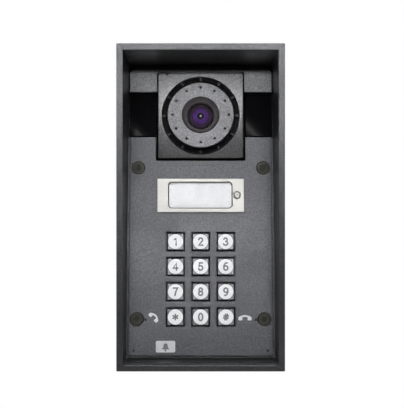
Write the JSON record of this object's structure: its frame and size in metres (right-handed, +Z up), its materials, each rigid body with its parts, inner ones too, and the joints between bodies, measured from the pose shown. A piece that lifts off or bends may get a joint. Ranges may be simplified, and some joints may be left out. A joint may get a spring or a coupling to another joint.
{
  "type": "door intercom panel",
  "caption": "Wall-mounted door intercom with a rain hood, a camera in a ribbed sound ring, dark light windows, a name-plate call button and a keypad on a sloping plate.",
  "frame": {"origin": "centre of the flat back face of the housing, on the wall", "axes": "+Z up, +X to the right seen from the front, the front faces -Y, +Y into the wall"},
  "size_m": [0.109, 0.083, 0.212],
  "materials": {
    "housing_paint": "fine-grained dark grey powder coat, satin",
    "plate_paint": "fine-grained dark grey powder coat, satin",
    "camera_paint": "silver grey metallic paint, satin",
    "dark_window": "polished black light-passing plastic",
    "black_plastic": "moulded, fine texture",
    "lens_glass": "coated optical glass, violet reflection",
    "key_metal": "satin chrome",
    "key_lens": "milky white, smooth",
    "call_steel": "brushed along its length",
    "clear_cover": "clear and smooth",
    "label_card": "matt white card",
    "screw_steel": "darkened steel",
    "rubber": "matt black",
    "circuit_board": "solder-masked board",
    "speaker_metal": "black pressed steel",
    "speaker_cone": "treated paper cone",
    "magnet": "plated",
    "microphone_can": "drawn can",
    "terminal_plastic": "moulded",
    "socket_metal": "plated shell"
  },
  "bodies": {
    "root": {"housing": "housing_paint", "cable_grommet": "rubber", "front_plate": "plate_paint", "top_strip": "plate_paint", "plate_gasket": "rubber", "panel_screw_top_left": "screw_steel", "panel_screw_top_right": "screw_steel", "panel_screw_bottom_left": "screw_steel", "panel_screw_bottom_right": "screw_steel", "light_window_left": "dark_window", "light_tray_left": "black_plastic", "light_board_left": "circuit_board", "light_window_right": "dark_window", "light_tray_right": "black_plastic", "light_board_right": "circuit_board", "camera_bezel": "camera_paint", "camera_disc": "camera_paint", "camera_lamp_ring": "circuit_board", "lens_barrel": "black_plastic", "lens_glass": "lens_glass", "camera_board": "circuit_board", "speaker_basket": "speaker_metal", "speaker_cone": "speaker_cone", "speaker_magnet": "magnet", "key_mat": "rubber", "keypad_board": "circuit_board", "microphone_left": "microphone_can", "microphone_right": "microphone_can", "main_board": "circuit_board", "terminal_block": "terminal_plastic", "network_socket": "socket_metal"},
    "key_1": {"key_cap_1": "key_metal", "key_lens_1": "key_lens"},
    "key_2": {"key_cap_2": "key_metal", "key_lens_2": "key_lens"},
    "key_3": {"key_cap_3": "key_metal", "key_lens_3": "key_lens"},
    "key_4": {"key_cap_4": "key_metal", "key_lens_4": "key_lens"},
    "key_5": {"key_cap_5": "key_metal", "key_lens_5": "key_lens"},
    "key_6": {"key_cap_6": "key_metal", "key_lens_6": "key_lens"},
    "key_7": {"key_cap_7": "key_metal", "key_lens_7": "key_lens"},
    "key_8": {"key_cap_8": "key_metal", "key_lens_8": "key_lens"},
    "key_9": {"key_cap_9": "key_metal", "key_lens_9": "key_lens"},
    "key_star": {"key_cap_star": "key_metal", "key_lens_star": "key_lens"},
    "key_0": {"key_cap_0": "key_metal", "key_lens_0": "key_lens"},
    "key_hash": {"key_cap_hash": "key_metal", "key_lens_hash": "key_lens"},
    "call_button": {"call_frame": "call_steel", "call_cover": "clear_cover", "call_label": "label_card", "call_base": "black_plastic", "call_screw": "screw_steel"}
  },
  "joints": [
    {"name": "key_1_press", "type": "slide", "parent": "root", "child": "key_1", "axis": [0, 0.9903, -0.1392], "range_m": [0, 0.0012], "stiffness_N_per_m": 900, "springref_m": -0.0004},
    {"name": "key_2_press", "type": "slide", "parent": "root", "child": "key_2", "axis": [0, 0.9903, -0.1392], "range_m": [0, 0.0012], "stiffness_N_per_m": 900, "springref_m": -0.0004},
    {"name": "key_3_press", "type": "slide", "parent": "root", "child": "key_3", "axis": [0, 0.9903, -0.1392], "range_m": [0, 0.0012], "stiffness_N_per_m": 900, "springref_m": -0.0004},
    {"name": "key_4_press", "type": "slide", "parent": "root", "child": "key_4", "axis": [0, 0.9903, -0.1392], "range_m": [0, 0.0012], "stiffness_N_per_m": 900, "springref_m": -0.0004},
    {"name": "key_5_press", "type": "slide", "parent": "root", "child": "key_5", "axis": [0, 0.9903, -0.1392], "range_m": [0, 0.0012], "stiffness_N_per_m": 900, "springref_m": -0.0004},
    {"name": "key_6_press", "type": "slide", "parent": "root", "child": "key_6", "axis": [0, 0.9903, -0.1392], "range_m": [0, 0.0012], "stiffness_N_per_m": 900, "springref_m": -0.0004},
    {"name": "key_7_press", "type": "slide", "parent": "root", "child": "key_7", "axis": [0, 0.9903, -0.1392], "range_m": [0, 0.0012], "stiffness_N_per_m": 900, "springref_m": -0.0004},
    {"name": "key_8_press", "type": "slide", "parent": "root", "child": "key_8", "axis": [0, 0.9903, -0.1392], "range_m": [0, 0.0012], "stiffness_N_per_m": 900, "springref_m": -0.0004},
    {"name": "key_9_press", "type": "slide", "parent": "root", "child": "key_9", "axis": [0, 0.9903, -0.1392], "range_m": [0, 0.0012], "stiffness_N_per_m": 900, "springref_m": -0.0004},
    {"name": "key_star_press", "type": "slide", "parent": "root", "child": "key_star", "axis": [0, 0.9903, -0.1392], "range_m": [0, 0.0012], "stiffness_N_per_m": 900, "springref_m": -0.0004},
    {"name": "key_0_press", "type": "slide", "parent": "root", "child": "key_0", "axis": [0, 0.9903, -0.1392], "range_m": [0, 0.0012], "stiffness_N_per_m": 900, "springref_m": -0.0004},
    {"name": "key_hash_press", "type": "slide", "parent": "root", "child": "key_hash", "axis": [0, 0.9903, -0.1392], "range_m": [0, 0.0012], "stiffness_N_per_m": 900, "springref_m": -0.0004},
    {"name": "call_button_press", "type": "slide", "parent": "root", "child": "call_button", "axis": [0, 0.9903, -0.1392], "range_m": [0, 0.001], "stiffness_N_per_m": 1800, "springref_m": -0.0004}
  ]
}
